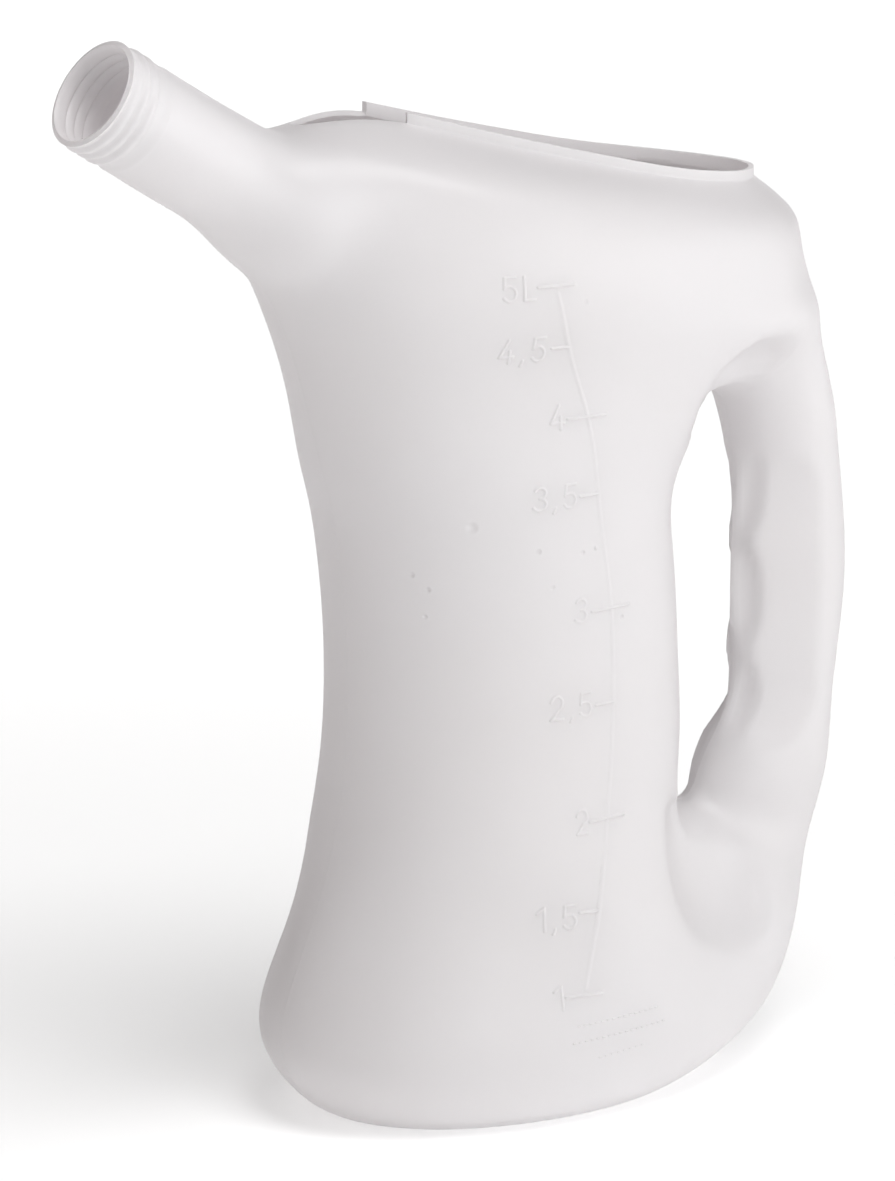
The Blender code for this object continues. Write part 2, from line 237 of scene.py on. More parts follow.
def spout_up():
    return Vector((sin(SPOUT_TILT), 0.0, cos(SPOUT_TILT)))


def spout_ring(distance, radius, count):
    centre = MOUTH - spout_axis() * distance
    ring = []
    for step in range(count):
        turn = -pi / 2 + pi * step / (count - 1)
        ring.append(centre + spout_up() * radius * sin(turn) + Vector((0.0, radius * cos(turn), 0.0)))
    return ring


def surface_points():
    """Points that the moulding's outer surface passes through, keyed by (row, column)."""
    points = {}
    rows = [full_ring(*ring) for ring in LOWER_RINGS]
    first_eye = len(rows)
    rows += [eye_ring(*ring) for ring in EYE_RINGS]
    last_eye = len(rows) - 1
    rows += [full_ring(*ring) for ring in UPPER_RINGS]
    rows.append([Vector(point) for point in RIM])
    for r, row in enumerate(rows):
        for c, point in enumerate(row):
            points[r, c] = point
    last = len(FULL_COLUMNS) - 1
    for c in range(1, last):
        points[0, c].y = 0.0
    del points[0, 0], points[0, last]
    for r in (first_eye, last_eye):
        points[r, EYE_COLUMN].y = points[r, EYE_COLUMN + 1].y = 0.0
    top = len(rows) - 1
    root = last_eye + 2
    count = top - root + 1
    tip = points[top, 0].copy()
    centre, reach = (tip + ROOT_BOTTOM) / 2, (tip - ROOT_BOTTOM) / 2
    for step in range(1, count - 1):
        turn = -pi / 2 + pi * step / (count - 1)
        side = Vector((0.0, ROOT_HALF_WIDTH * cos(turn), 0.0))
        points[root + step, 0] = centre + reach * sin(turn) + side
    points[root, 0] = ROOT_BOTTOM.copy()
    for k, (distance, radius) in enumerate(reversed(SPOUT_SECTIONS)):
        for step, point in enumerate(spout_ring(distance, radius, count)):
            points[root + step, -1 - k] = point
    for c in range(COLLAR_START, len(RIM)):
        points[top + 1, c] = points[top, c] + Vector((0.0, 0.0, COLLAR_HEIGHT))
    return points, first_eye, last_eye, top


def half_cage(points, first_eye, last_eye, top):
    keys = sorted(points)
    index = {key: number for number, key in enumerate(keys)}
    faces = []
    for r, c in keys:
        in_eye = c == EYE_COLUMN and first_eye <= r < last_eye
        corners = [(r, c), (r + 1, c), (r + 1, c + 1), (r, c + 1)]
        if all(corner in index for corner in corners) and not in_eye:
            faces.append([index[corner] for corner in corners])
    end = len(FULL_COLUMNS) - 1
    faces.append([index[0, 1], index[1, 0], index[1, 1]])
    faces.append([index[0, end - 1], index[1, end - 1], index[1, end]])
    mesh = bpy.data.meshes.new("jug_cage")
    mesh.from_pydata([points[key] for key in keys], [], faces)
    mesh.update()
    pairs = [((r, c), (r, c + 1)) for r in STANDING_RINGS for c in range(end)]
    pairs += [((top, c), (top, c + 1)) for c in range(COLLAR_START, end)]
    wanted = {frozenset((index[a], index[b])) for a, b in pairs}
    crease = mesh.attributes.new("crease_edge", "FLOAT", "EDGE")
    for edge in mesh.edges:
        if frozenset(edge.vertices) in wanted:
            crease.data[edge.index].value = 1.0
    return mesh, [points[key] for key in keys]


def fit_cage(jug, targets):
    """Move the cage until the smooth surface passes through the targets; the push-up only in height."""
    for _ in range(FIT_ROUNDS):
        graph = bpy.context.evaluated_depsgraph_get()
        graph.update()
        smooth_mesh = jug.evaluated_get(graph).data
        for vertex, target in zip(jug.data.vertices, targets):
            step = target - smooth_mesh.vertices[vertex.index].co
            on_push_up = abs(target.z - PUSH_UP) < CLIP_DISTANCE
            if on_push_up:
                step.x = 0.0
            if on_push_up or target.y == 0.0:
                step.y = 0.0
            vertex.co += step
        jug.data.update()
        jug.update_tag()


# ---------------------------------------------------------------- small tools
def link(thing):
    bpy.context.scene.collection.objects.link(thing)
    return thing


def settle(thing, name):
    """The object's evaluated mesh in a new object, without modifiers."""
    graph = bpy.context.evaluated_depsgraph_get()
    graph.update()
    mesh = bpy.data.meshes.new_from_object(thing.evaluated_get(graph))
    mesh.name = name
    bpy.data.objects.remove(thing, do_unlink=True)
    return link(bpy.data.objects.new(name, mesh))


def mesh_object(name, points, faces, material):
    mesh = bpy.data.meshes.new(name)
    mesh.from_pydata(points, [], faces)
    mesh.validate()
    mesh.shade_smooth()
    mesh.materials.append(material)
    return link(bpy.data.objects.new(name, mesh))


def bump_shape(t):
    """1 in the middle, 0 with no slope at t = 1."""
    t = min(1.0, abs(t))
    return (1.0 - t * t) ** 2


def smooth_step(t):
    t = min(1.0, max(0.0, t))
    return t * t * (3.0 - 2.0 * t)


# ---------------------------------------------------------------- jug
def thread_offset(point):
    """Radial move that presses the helical thread into the neck."""
    along = (MOUTH - point).dot(spout_axis())
    if along > THREAD_START + THREAD_PITCH * (THREAD_TURNS + THREAD_CLEAR) or point.x > ROOT_BOTTOM.x:
        return None
    centre = MOUTH - spout_axis() * along
    out = point - centre
    turn = atan2(out.y, -out.dot(spout_up())) / (2 * pi)
    place = (along - THREAD_START) / THREAD_PITCH
    nearest = round(place - turn - THREAD_PHASE) + turn + THREAD_PHASE
    left = THREAD_TURNS + THREAD_END - nearest
    fade = smooth_step(nearest / THREAD_RUNOUT) * smooth_step(left / THREAD_RUNOUT)
    crest = bump_shape((place - nearest) / RIDGE_HALF)
    ridge = (THREAD_CREST - out.length) * crest * fade
    inside = smooth_step(along / VALLEY_RISE) * smooth_step((VALLEY_END - along) / VALLEY_FADE)
    valley = THREAD_DEPTH * inside * (1.0 - crest * fade)
    return out.normalized() * (ridge - valley * VALLEY_SHARE)


def grip_section(z):
    """The grip's inner x, outer x and half width at a height beside the eye."""
    for low, high in zip(EYE_RINGS, EYE_RINGS[1:]):
        if z <= high[0]:
            t = (z - low[0]) / (high[0] - low[0])
            return [a + (b - a) * t for a, b in zip(low[4:], high[4:])]
    return EYE_RINGS[-1][4:]


def fade_between(value, start, full, past, end):
    """0 outside start and end, 1 from full to past."""
    return smooth_step((value - start) / (full - start)) * smooth_step((end - value) / (end - past))


def press(point, inner, limit):
    """Project a point of the grip's section onto a side given as half width behind the inner edge."""
    side = 1.0 if point.y > 0.0 else -1.0
    for _ in range(PRESS_ROUNDS):
        behind = point.x - inner
        over = abs(point.y) - limit(behind)
        if over <= 0.0:
            return
        slope = (limit(behind + PRESS_STEP) - limit(behind - PRESS_STEP)) / (2 * PRESS_STEP)
        share = over / (1.0 + slope * slope)
        point.x += share * slope
        point.y = side * max(0.0, abs(point.y) - share)


def press_grip(point):
    """Give the grip its flat sides and cut the finger hollows into their inner edges."""
    if not FLANK_ENDS[0] < point.z < FLANK_ENDS[-1] or point.x < GRIP_SIDE:
        return
    inner = grip_section(point.z)[0]
    loose = FLANK_LOOSE * (1.0 - fade_between(point.z, *FLANK_ENDS)) ** 2
    start = INNER_START[point.y > 0.0]
    reach = 0.0
    for middle, half in HOLLOWS:
        place = abs(point.z - middle) / half
        if place < 1.0:
            reach = max(reach, HOLLOW_REACH * sqrt(1.0 - place * place))
    press(point, inner, lambda behind: FLANK_START + loose + FLANK_OPENING * behind)
    press(point, inner, lambda behind: start + loose + INNER_SLOPE * behind)
    if reach > HOLLOW_LEAST and point.x - inner < reach:
        rise = FLANK_START + FLANK_OPENING * reach - HOLLOW_ROOT

        def hollow(behind):
            t = behind / reach
            return HOLLOW_ROOT + loose + rise * t * (1.0 - HOLLOW_CURVE * (1.0 - t * abs(t)))

        press(point, inner, hollow)


def dish_limit(point):
    """Half width that a dish leaves at a point, where the point lies in one."""
    for x, z, front, back, end, inside, power in DISHES:
        beyond = (point.z - z) * (1 if z > EYE_MIDDLE else -1)
        along = (point.x - x) / (front if point.x < x else back)
        outline = abs(along) ** DISH_OUTLINE + max(0.0, beyond / end) ** DISH_OUTLINE
        radius = outline ** (1.0 / DISH_OUTLINE)
        if beyond > -DISH_FADE and radius < 1.0:
            loose = 1.0 - smooth_step((beyond + DISH_FADE) / DISH_FADE)
            return inside + (DISH_RIM - inside) * max(radius ** power, loose)
    return None


def make_skin():
    """The jug's outer surface with its thread, dishes, flats and hollows, as one mesh."""
    points, first_eye, last_eye, top = surface_points()
    mesh, targets = half_cage(points, first_eye, last_eye, top)
    skin = link(bpy.data.objects.new("jug_cage", mesh))
    mirror = skin.modifiers.new("mirror", "MIRROR")
    mirror.use_axis = (False, True, False)
    mirror.use_clip = True
    mirror.merge_threshold = CLIP_DISTANCE
    smooth = skin.modifiers.new("smooth", "SUBSURF")
    smooth.levels = smooth.render_levels = 1
    smooth.boundary_smooth = "PRESERVE_CORNERS"
    smooth.use_limit_surface = True
    fit_cage(skin, targets)
    smooth.levels = smooth.render_levels = FINE_LEVEL
    skin = settle(skin, "jug")
    for vertex in skin.data.vertices:
        offset = thread_offset(vertex.co)
        if offset is not None:
            vertex.co += offset
        limit = dish_limit(vertex.co)
        if limit is not None and abs(vertex.co.y) > limit:
            vertex.co.y = limit if vertex.co.y > 0 else -limit
        press_grip(vertex.co)
        vertex.co.x += CENTRE_X
    skin.data.update()
    return skin


def make_jug(skin, material):
    """The skin made into a wall, standing for the CAD's moulding."""
    skin.data.shade_smooth()
    skin.data.materials.clear()
    skin.data.materials.append(material)
    shell = skin.modifiers.new("wall", "SOLIDIFY")
    shell.thickness = WALL
    shell.offset = -1.0
    shell.use_even_offset = True
    shell.use_quality_normals = True
    edge = skin.modifiers.new("edge", "BEVEL")
    edge.width = EDGE_RADIUS
    edge.segments = 2
    edge.limit_method = "ANGLE"
    edge.angle_limit = EDGE_ANGLE
    jug = settle(skin, "jug")
    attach(jug, "jug")
    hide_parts("jug_body")


# ---------------------------------------------------------------- relief on the skin
class Skin:
    """Points and smooth normals of the jug's outer surface, met by rays along one axis."""

    def __init__(self, skin):
        self.points = [vertex.co.copy() for vertex in skin.data.vertices]
        self.normals = [vertex.normal.copy() for vertex in skin.data.vertices]
        self.faces = [tuple(face.vertices) for face in skin.data.polygons]
        self.tree = BVHTree.FromPolygons(self.points, self.faces)

    def hit(self, start, way):
        place, _, face, _ = self.tree.ray_cast(start, way)
        corners = self.faces[face]
        weights = [1.0 / max(1e-9, (self.points[k] - place).length) for k in corners]
        normal = sum((self.normals[k] * w for k, w in zip(corners, weights)), Vector())
        return place, normal.normalized()


def side_hit(skin, u, v):
    """A point of the side that carries the scale: u is x before CENTRE_X, v the height."""
    return skin.hit(Vector((u + CENTRE_X, -0.2, v)), Vector((0.0, 1.0, 0.0)))


def base_hit(skin, u, v):
    """A point of the base: u is x before CENTRE_X, v is y."""
    return skin.hit(Vector((u + CENTRE_X, v, -0.1)), Vector((0.0, 0.0, 1.0)))


def segment_distance(u, v, a, b):
    """Distance of (u, v) from the segment between a and b."""
    du, dv = b[0] - a[0], b[1] - a[1]
    length = du * du + dv * dv
    t = ((u - a[0]) * du + (v - a[1]) * dv) / length if length > 0 else 0.0
    t = min(1.0, max(0.0, t))
    return hypot(u - a[0] - du * t, v - a[1] - dv * t)


def relief(name, skin, hit, groups, raise_by, stroke, pitch, material):
    """A closed piece that raises soft beads along strokes. Each group is a list of polylines."""
    points, faces = [], []
    for lines in groups:
        segments = [pair for line in lines for pair in zip(line, line[1:])]
        low_u = min(p[0] for line in lines for p in line) - stroke
        low_v = min(p[1] for line in lines for p in line) - stroke
        columns = int((max(p[0] for line in lines for p in line) + stroke - low_u) / pitch) + 2
        rows = int((max(p[1] for line in lines for p in line) + stroke - low_v) / pitch) + 2
        far = {}
        for i in range(columns):
            for j in range(rows):
                u, v = low_u + i * pitch, low_v + j * pitch
                far[i, j] = min(segment_distance(u, v, a, b) for a, b in segments)
        cells = [(i, j) for i in range(columns - 1) for j in range(rows - 1)
                 if max(far[i, j], far[i + 1, j], far[i, j + 1], far[i + 1, j + 1]) < stroke * RELIEF_MARGIN]
        used, edges = {}, {}
        for i, j in cells:
            corners = ((i, j), (i + 1, j), (i + 1, j + 1), (i, j + 1))
            for corner in corners:
                if corner not in used:
                    used[corner] = len(points)
                    place, normal = hit(skin, low_u + corner[0] * pitch, low_v + corner[1] * pitch)
                    height = raise_by * bump_shape(far[corner] / stroke) - RELIEF_SINK
                    points.append(place + normal * height)
                    points.append(place - normal * RELIEF_DEPTH)
            outer = [used[corner] for corner in corners]
            faces.append(outer)
            faces.append([k + 1 for k in reversed(outer)])
            for a, b in zip(outer, outer[1:] + outer[:1]):
                edges[a, b] = True
        for a, b in edges:
            if (b, a) not in edges:
                faces.append([b, a, a + 1, b + 1])
    piece = mesh_object(name, points, faces, material)
    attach(piece, "jug")


def strip(name, skin, line, stroke, raise_by, material):
    """A soft bead along a nearly vertical line on the scale's side, as a closed piece."""
    fine = []
    for (u1, v1), (u2, v2) in zip(line, line[1:]):
        fine += [(u1 + (u2 - u1) * k / STRIP_CUTS, v1 + (v2 - v1) * k / STRIP_CUTS) for k in range(STRIP_CUTS)]
    fine.append(line[-1])
    last = len(fine) - 1
    offsets = [stroke * (2 * k / STRIP_ACROSS - 1) for k in range(STRIP_ACROSS + 1)]
    points, faces = [], []
    for n, (u, v) in enumerate(fine):
        fade = smooth_step(min(n, last - n) / STRIP_FADE)
        hits = [side_hit(skin, u + offset, v) for offset in offsets]
        for offset, (place, normal) in zip(offsets, hits):
            height = raise_by * bump_shape(offset / stroke) * fade - RELIEF_SINK
            points.append(place + normal * height)
        points += [place - normal * RELIEF_DEPTH for place, normal in hits]
    under = STRIP_ACROSS + 1
    row = 2 * under
    for n in range(last):
        a = n * row
        for k in range(STRIP_ACROSS):
            faces.append([a + k, a + k + 1, a + row + k + 1, a + row + k])
            b = a + under + k
            faces.append([b, b + row, b + row + 1, b + 1])
        faces.append([a, a + row, a + row + under, a + under])
        b = a + STRIP_ACROSS
        faces.append([b, b + under, b + row + under, b + row])
    for a, turned in ((0, True), (last * row, False)):
        cap = [a + k for k in range(under)] + [a + under + k for k in range(STRIP_ACROSS, -1, -1)]
        faces.append(cap[::-1] if turned else cap)
    piece = mesh_object(name, points, faces, material)
    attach(piece, "jug")


def arc(cx, cy, rx, ry, start, end, steps=12):
    """Points of an ellipse's arc between two angles in degrees."""
    angles = [radians(start + (end - start) * k / steps) for k in range(steps + 1)]
    return [(cx + rx * cos(a), cy + ry * sin(a)) for a in angles]


# Strokes of the engraver's digits in a box one high, and each sign's width.
SIGNS = {
    "1": (0.36, [[(0.02, 0.78), (0.34, 1.0), (0.34, 0.0)]]),
    "2": (0.56, [arc(0.28, 0.70, 0.26, 0.30, 168, -28) + [(0.02, 0.0), (0.56, 0.0)]]),
    "3": (0.56, [arc(0.26, 0.76, 0.25, 0.24, 150, -90), arc(0.26, 0.26, 0.29, 0.26, 90, -150)]),
    "4": (0.58, [[(0.34, 1.0), (0.0, 0.26), (0.58, 0.26)], [(0.42, 0.52), (0.42, 0.0)]]),
    "5": (0.56, [[(0.53, 1.0), (0.08, 1.0), (0.05, 0.53)] + arc(0.27, 0.31, 0.28, 0.31, 128, -145)]),
    "L": (0.44, [[(0.0, 1.0), (0.0, 0.0), (0.44, 0.0)]]),
    ",": (0.08, [[(0.08, 0.05), (0.0, -0.16)]]),
}


def label_lines(text, right, middle):
    """The strokes of a label that ends at right, with its middle at that height."""
    gap = DIGIT_GAP / DIGIT_HEIGHT
    width = sum(SIGNS[sign][0] for sign in text) + gap * (len(text) - 1)
    left = right - width * DIGIT_HEIGHT
    groups = []
    for sign in text:
        wide, lines = SIGNS[sign]
        groups.append([[(left + u * DIGIT_HEIGHT, middle + (v - 0.5) * DIGIT_HEIGHT) for u, v in line]
                       for line in lines])
        left += (wide + gap) * DIGIT_HEIGHT
    return groups


def spline_x(z):
    """The spine's x at a height, on a smooth curve through its points."""
    knots = sorted(SPINE)
    for k in range(len(knots) - 1):
        if z <= knots[k + 1][0] or k == len(knots) - 2:
            break
    z0, x0 = knots[max(0, k - 1)]
    z1, x1 = knots[k]
    z2, x2 = knots[k + 1]
    z3, x3 = knots[min(len(knots) - 1, k + 2)]
    slope1 = (x2 - x0) / (z2 - z0)
    slope2 = (x3 - x1) / (z3 - z1)
    span = z2 - z1
    t = (z - z1) / span
    return (x1 * (2 * t ** 3 - 3 * t * t + 1) + slope1 * span * (t ** 3 - 2 * t * t + t)
            + x2 * (3 * t * t - 2 * t ** 3) + slope2 * span * (t ** 3 - t * t))


def make_scale(skin, material):
    """The labels, the marks, the spine they stand on and the pips under them."""
    labels = [group for _, _, _, text, right, middle in MARKS for group in label_lines(text, right, middle)]
    relief("scale_labels", skin, side_hit, labels, DIGIT_RAISE, DIGIT_STROKE, RELIEF_PITCH, material)
    marks = [[[(left, z), (right, z)]] for z, left, right, _, _, _ in MARKS]
    relief("scale_marks", skin, side_hit, marks, MARK_RAISE, MARK_STROKE, RELIEF_PITCH, material)
    low, high = min(SPINE)[0], max(SPINE)[0]
    heights = [low + (high - low) * k / SPINE_STEPS for k in range(SPINE_STEPS + 1)]
    spine = [(spline_x(z), z) for z in heights]
    strip("scale_spine", skin, spine, SPINE_STROKE, SPINE_RAISE, material)
    pips = []
    for left, right, low_z, high_z, number in PIP_ROWS:
        for k in range(number):
            t = k / (number - 1)
            u, z = left + (right - left) * t, low_z + (high_z - low_z) * t
            pips.append([[(u - PIP_LENGTH / 2, z), (u + PIP_LENGTH / 2, z)]])
    relief("moulding_pips", skin, side_hit, pips, PIP_RAISE, PIP_STROKE, PIP_PITCH, material)


# ---------------------------------------------------------------- teat kit
def lathe(name, loop, steps, centre, material):
    """A closed ring of profiles: loop(turn) gives the (radius, height) points at that turn."""
    points, faces = [], []
    for step in range(steps):
        turn = 2 * pi * step / steps
        profile = loop(turn)
        points += [Vector((r * cos(turn), r * sin(turn), z)) + centre for r, z in profile]
    count = len(profile)
    for step in range(steps):
        a, b = step * count, (step + 1) % steps * count
        for k in range(count):
            nxt = (k + 1) % count
            faces.append([a + k, b + k, b + nxt, a + nxt])
    return mesh_object(name, points, faces, material)


def rounded(profile, cuts):
    """The closed profile with Catmull-Rom points put between its own."""
    count = len(profile)
    out = []
    for k in range(count):
        p0, p1, p2, p3 = (profile[(k + n) % count] for n in (-1, 0, 1, 2))
        for step in range(cuts):
            t = step / cuts
            out.append(tuple(0.5 * (2 * b + (c - a) * t + (2 * a - 5 * b + 4 * c - d) * t * t
                                    + (3 * b - a - 3 * c + d) * t ** 3)
                             for a, b, c, d in zip(p0, p1, p2, p3)))
    return out


TEAT_PROFILE = (
    (0.0013, 0.0978), (0.0045, 0.0972), (0.0072, 0.0940), (0.0084, 0.0880), (0.0096, 0.0750),
    (0.0118, 0.0550), (0.0125, 0.0400), (0.0122, 0.0250), (0.0128, 0.0120), (0.0130, 0.0042),
    (0.0138, 0.0032), (0.0184, 0.0030), (0.0190, 0.0026), (0.0190, 0.0005), (0.0184, 0.0001),
    (0.0110, 0.0001), (0.0106, 0.0060), (0.0105, 0.0120), (0.0098, 0.0250), (0.0100, 0.0400),
    (0.0093, 0.0550), (0.0070, 0.0750), (0.0056, 0.0880), (0.0036, 0.0940), (0.0013, 0.0952),
)
TEAT_CUTS = 3
TEAT_STEPS = 96
RIPPLE_HEIGHT = 0.00022
RIPPLE_PITCH = 0.0038
RIPPLE_MIDDLE = 0.062
RIPPLE_REACH = 0.030
RIPPLE_RADIUS = 0.0088           # the teat ripples outside this radius
SEAM_HEIGHT = 0.00012
SEAM_HALF = 0.10
SEAM_RADIUS = 0.0072             # its seam stands outside this radius
RING_OUTER = 0.0245
RING_BORE = 0.0220
RING_HEIGHT = 0.0175
RING_HOLE = 0.0142
RING_LIP = 0.0028
RING_RIDGE = 0.0006
RING_RIBS = 48
RING_CHAMFER = 0.0004
# Edge of the ring's crown: how far inside RING_OUTER, how far under the top. Its foot: how far inside, height.
RING_CROWN = ((0.0022, 0.0), (0.0013, 0.0003), (0.0008, 0.0010), (0.0007, 0.0018))
RING_FOOT = ((0.0003, 0.0030), (0.0, 0.0026), (0.0, 0.0006), (0.0006, 0.0))
RIB_DEPTH = 0.0006
RIB_POWER = 0.7
RIB_TOP = 0.0028                 # how far under the top a rib ends
RIB_FOOT = 0.0040
RIB_STEPS = 8
# Thread in the bore: rows of points, where they start and how much shorter than the bore they are, where the ridge
# starts, its turns' start and end, the turns that it fades over and its half width in pitches.
BORE_STEPS = 30
BORE_START = 0.0010
BORE_SHORT = 0.0022
BORE_THREAD_START = 0.0016
BORE_PHASE = 0.25
BORE_TURNS = (0.1, 2.4)
BORE_FADE = 0.3
BORE_RIDGE_HALF = 0.36


def kit_centre():
    low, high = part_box("feeding_teat")
    return Vector(((low[0] + high[0]) / 2, 0.0, low[2]))


def make_teat(material):
    profile = rounded(TEAT_PROFILE, TEAT_CUTS)

    def loop(turn):
        ribbed = []
        for r, z in profile:
            ripple = seam = 0.0
            if r > RIPPLE_RADIUS:
                fade = bump_shape((z - RIPPLE_MIDDLE) / RIPPLE_REACH)
                ripple = RIPPLE_HEIGHT * fade * sin(z * 2 * pi / RIPPLE_PITCH)
            if r > SEAM_RADIUS:
                seam = SEAM_HEIGHT * bump_shape(sin(turn) / SEAM_HALF)
            ribbed.append((r + ripple + seam, z))
        return ribbed

    teat = lathe("teat", loop, TEAT_STEPS, kit_centre(), material)
    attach(teat, "teat_kit")
    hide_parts("feeding_teat")


def make_ring(material):
    lip = RING_HEIGHT - RING_LIP

    def loop(turn):
        rib = RIB_DEPTH * (0.5 - 0.5 * cos(turn * RING_RIBS)) ** RIB_POWER
        profile = [(RING_HOLE, RING_HEIGHT - RING_CHAMFER), (RING_HOLE + RING_CHAMFER, RING_HEIGHT)]
        profile += [(RING_OUTER - inside, RING_HEIGHT - under) for inside, under in RING_CROWN]
        profile += [(RING_OUTER - rib, RING_HEIGHT - RIB_TOP), (RING_OUTER - rib, RIB_FOOT)]
        profile += [(RING_OUTER - inside, z) for inside, z in RING_FOOT]
        profile += [(RING_BORE + RING_CHAMFER, 0.0), (RING_BORE, RING_CHAMFER)]
        for k in range(BORE_STEPS + 1):
            z = BORE_START + (lip - BORE_SHORT) * k / BORE_STEPS
            place = (z - BORE_THREAD_START) / THREAD_PITCH
            share = turn / (2 * pi)
            nearest = round(place - share - BORE_PHASE) + share + BORE_PHASE
            rise = smooth_step((nearest - BORE_TURNS[0]) / BORE_FADE)
            fade = rise * smooth_step((BORE_TURNS[1] - nearest) / BORE_FADE)
            profile.append((RING_BORE - RING_RIDGE * bump_shape((place - nearest) / BORE_RIDGE_HALF) * fade, z))
        return profile + [(RING_BORE, lip), (RING_HOLE + RING_CHAMFER, lip), (RING_HOLE, lip + RING_CHAMFER)]

    ring = lathe("ring", loop, RING_RIBS * RIB_STEPS, kit_centre(), material)
    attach(ring, "ring")
    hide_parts("screw_ring")


# ---------------------------------------------------------------- materials
class Nodes:
    """Short calls for building one material."""

    def __init__(self, name):
        self.material = bpy.data.materials.new(name)
        self.material.use_nodes = True
        self.tree = self.material.node_tree
        self.shader = self.tree.nodes["Principled BSDF"]
        self.output = self.tree.nodes["Material Output"]
        self.place = self.tree.nodes.new("ShaderNodeTexCoord").outputs["Object"]

    def join(self, value, socket):
        if isinstance(value, bpy.types.NodeSocket):
            self.tree.links.new(value, socket)
        else:
            socket.default_value = value

    def math(self, operation, a, b=0.0):
        node = self.tree.nodes.new("ShaderNodeMath")
        node.operation = operation
        self.join(a, node.inputs[0])
        self.join(b, node.inputs[1])
        return node.outputs[0]

    def noise(self, scale, detail=3.0, stretch=None):
        node = self.tree.nodes.new("ShaderNodeTexNoise")
        node.inputs["Scale"].default_value = scale
        node.inputs["Detail"].default_value = detail
        place = self.place
        if stretch:
            mapping = self.tree.nodes.new("ShaderNodeMapping")
            mapping.inputs["Scale"].default_value = stretch
            self.tree.links.new(place, mapping.inputs["Vector"])
            place = mapping.outputs["Vector"]
        self.tree.links.new(place, node.inputs["Vector"])
        return node.outputs["Fac"]

    def spread(self, value, low, high, to_low=0.0, to_high=1.0, smooth=False):
        node = self.tree.nodes.new("ShaderNodeMapRange")
        if smooth:
            node.interpolation_type = "SMOOTHSTEP"
        self.join(value, node.inputs["Value"])
        for name, number in (("From Min", low), ("From Max", high), ("To Min", to_low), ("To Max", to_high)):
            node.inputs[name].default_value = number
        return node.outputs[0]

    def blend(self, factor, a, b):
        """From colour a to colour b."""
        node = self.tree.nodes.new("ShaderNodeMix")
        node.data_type = "RGBA"
        self.join(factor, node.inputs["Factor"])
        self.join((*a, 1.0), node.inputs["A"])
        self.join((*b, 1.0), node.inputs["B"])
        return node.outputs["Result"]

    def split(self):
        node = self.tree.nodes.new("ShaderNodeSeparateXYZ")
        self.tree.links.new(self.place, node.inputs[0])
        return node.outputs

    def near(self, point, radius):
        """1 at a point of the object, 0 at that radius."""
        node = self.tree.nodes.new("ShaderNodeVectorMath")
        node.operation = "DISTANCE"
        self.tree.links.new(self.place, node.inputs[0])
        node.inputs[1].default_value = point
        return self.spread(node.outputs["Value"], 0.0, radius, 1.0, 0.0, smooth=True)

    def bump(self, height, distance):
        node = self.tree.nodes.new("ShaderNodeBump")
        node.inputs["Strength"].default_value = 1.0
        node.inputs["Distance"].default_value = distance
        self.join(height, node.inputs["Height"])
        return node.outputs["Normal"]

    def set(self, **values):
        for name, value in values.items():
            self.join(value, self.shader.inputs[name.replace("_", " ")])


# Small pits and bumps of the mould: place, radius, height (a pit is below 0).
DENTS = (
    ((-0.0316, -0.0475, 0.2277), 0.0028, -1.0), ((-0.0461, -0.0308, 0.2091), 0.0014, -0.8),
    ((-0.0420, -0.0350, 0.2039), 0.0014, -0.8), ((-0.0422, -0.0334, 0.1936), 0.0012, -0.7),
    ((0.0063, -0.0639, 0.3082), 0.0013, -0.5), ((-0.0086, -0.0564, 0.2174), 0.0014, -0.6),
    ((0.0092, -0.0587, 0.2150), 0.0013, -0.6), ((0.0149, -0.0587, 0.2161), 0.0012, 0.6),
    ((-0.0028, -0.0569, 0.2035), 0.0013, -0.5), ((0.0282, -0.0566, 0.1882), 0.0012, -0.6),
)


HDPE_DARK = (0.884, 0.876, 0.879)
HDPE_LIGHT = (0.907, 0.904, 0.912)
HDPE_THROUGH = (0.92, 0.89, 0.895, 1.0)      # colour of the light that comes through the wall
THROUGH_SHARE = 0.42
HDPE_ROUGHNESS = (0.29, 0.38)
GRAIN_HEIGHT = 0.10
FLOW_HEIGHT = 0.16
PARTING_HALF = 0.0008            # half width of the mould's parting line
PARTING_HEIGHT = 0.45
DENT_HEIGHT = 3.0
HDPE_BUMP = 0.00022              # what one unit of those heights stands for


